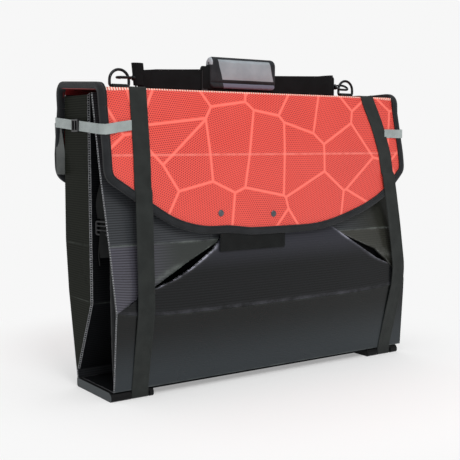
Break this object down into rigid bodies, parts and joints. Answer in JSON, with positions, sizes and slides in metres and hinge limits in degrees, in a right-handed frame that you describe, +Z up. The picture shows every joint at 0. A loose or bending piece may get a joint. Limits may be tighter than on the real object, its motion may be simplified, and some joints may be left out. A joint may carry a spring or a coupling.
{
  "type": "folding kayak",
  "caption": "Folding kayak in its carry form: a creased twin-wall sheet hull folded to a box, closed by a hinged floorboard with straps and a padded shoulder strap.",
  "frame": {"origin": "on the ground under the middle of the folded box", "axes": "+X along the box's length towards its right end, -Y towards the front with the flap, +Z up"},
  "size_m": [0.8106, 0.2459, 0.69],
  "materials": {
    "hull_sheet": "satin black twin-wall sheet",
    "foot_plastic": "moulded",
    "board_sheet": "satin red sheet, dark red inside",
    "binding_tape": "folded edge tape",
    "black_webbing": "woven",
    "grey_webbing": "woven",
    "moulded_plastic": "moulded",
    "black_metal": "black coated wire",
    "pad_cloth": "padded cloth with dark edging",
    "gear_cloth": "padded cloth"
  },
  "bodies": {
    "root": {"hull_front_lower": "hull_sheet", "hull_front_main": "hull_sheet", "hull_front_gusset_left": "hull_sheet", "hull_front_gusset_right": "hull_sheet", "hull_front_upper": "hull_sheet", "hull_back_lower": "hull_sheet", "hull_back_upper": "hull_sheet", "hull_floor": "hull_sheet", "hull_inner_wall": "hull_sheet", "hull_end_plate_left": "hull_sheet", "hull_end_plate_right": "hull_sheet", "foot_left": "foot_plastic", "foot_right": "foot_plastic", "floorboard_top": "board_sheet", "binding_top_left": "binding_tape", "binding_top_right": "binding_tape", "strap_left_top": "black_webbing", "strap_left_under": "black_webbing", "strap_right_top": "black_webbing", "strap_right_under": "black_webbing", "ring_keeper_left": "black_webbing", "ring_keeper_right": "black_webbing", "closure_patch": "black_webbing", "seat_pad": "gear_cloth", "backrest_pad": "gear_cloth", "bulkhead_bow": "hull_sheet", "bulkhead_stern": "hull_sheet", "footrest": "moulded_plastic", "inner_strap": "black_webbing", "inner_buckle": "moulded_plastic"},
    "front_flap": {"floorboard_front": "board_sheet", "binding_front": "binding_tape", "strap_left_front": "black_webbing", "strap_right_front": "black_webbing", "side_strap_left_front": "grey_webbing", "side_strap_right_front": "grey_webbing", "rivet_left": "black_metal", "rivet_right": "black_metal"},
    "closure_tab": {"closure_tab": "black_webbing"},
    "back_flap": {"floorboard_back": "board_sheet", "binding_back": "binding_tape", "strap_left_back": "black_webbing", "strap_left_buckle": "moulded_plastic", "strap_right_back": "black_webbing", "strap_right_buckle": "moulded_plastic", "side_strap_left_back": "grey_webbing", "side_strap_right_back": "grey_webbing"},
    "side_lock_left": {"side_lock_left": "moulded_plastic"},
    "side_lock_right": {"side_lock_right": "moulded_plastic"},
    "carry_handle": {"d_ring_left": "black_metal", "d_ring_right": "black_metal", "hook_eye_left": "black_metal", "hook_eye_right": "black_metal", "shoulder_webbing": "black_webbing"},
    "hook_left": {"hook_left": "black_metal"},
    "hook_right": {"hook_right": "black_metal"},
    "gate_left": {"gate_left": "black_metal"},
    "gate_right": {"gate_right": "black_metal"},
    "shoulder_pad": {"shoulder_pad": "pad_cloth"},
    "strap_slider": {"strap_slider": "moulded_plastic"}
  },
  "joints": [
    {"name": "front_flap_fold", "type": "hinge", "parent": "root", "child": "front_flap", "pos_m": [0, -0.0945, 0.612], "axis": [-1, 0, 0], "range_deg": [0, 90]},
    {"name": "back_flap_fold", "type": "hinge", "parent": "root", "child": "back_flap", "pos_m": [0, 0.0875, 0.612], "axis": [1, 0, 0], "range_deg": [0, 90]},
    {"name": "closure_tab_peel", "type": "hinge", "parent": "front_flap", "child": "closure_tab", "pos_m": [-0.051, -0.1203, 0.336], "axis": [-1, 0, 0], "range_deg": [0, 80]},
    {"name": "side_lock_left_tilt", "type": "hinge", "parent": "back_flap", "child": "side_lock_left", "pos_m": [-0.4053, 0.014, 0.53976], "axis": [0, 0, -1], "range_deg": [0, 35]},
    {"name": "side_lock_right_tilt", "type": "hinge", "parent": "back_flap", "child": "side_lock_right", "pos_m": [0.4053, 0.014, 0.56376], "axis": [0, 0, 1], "range_deg": [0, 35]},
    {"name": "carry_handle_swing", "type": "hinge", "parent": "root", "child": "carry_handle", "pos_m": [0, -0.003, 0.6198], "axis": [1, 0, 0], "range_deg": [-60, 60]},
    {"name": "hook_left_swivel", "type": "hinge", "parent": "carry_handle", "child": "hook_left", "pos_m": [-0.276, -0.003, 0.638], "axis": [1, 0, 0], "range_deg": [-35, 35]},
    {"name": "hook_right_swivel", "type": "hinge", "parent": "carry_handle", "child": "hook_right", "pos_m": [0.276, -0.003, 0.638], "axis": [1, 0, 0], "range_deg": [-70, 3]},
    {"name": "gate_left_open", "type": "hinge", "parent": "hook_left", "child": "gate_left", "pos_m": [-0.28, 0.0056, 0.638], "axis": [0, 0, 1], "range_deg": [0, 22], "stiffness_Nm_per_rad": 0.02, "springref_deg": -11.46},
    {"name": "gate_right_open", "type": "hinge", "parent": "hook_right", "child": "gate_right", "pos_m": [0.28, 0.00404, 0.64293], "axis": [0, 0.5736, -0.8192], "range_deg": [0, 22], "stiffness_Nm_per_rad": 0.02, "springref_deg": -11.46},
    {"name": "shoulder_pad_slide", "type": "slide", "parent": "carry_handle", "child": "shoulder_pad", "axis": [1, 0, 0], "range_m": [0, 0.12]},
    {"name": "strap_slider_slide", "type": "slide", "parent": "carry_handle", "child": "strap_slider", "axis": [1, 0, 0], "range_m": [-0.13, 0]}
  ]
}
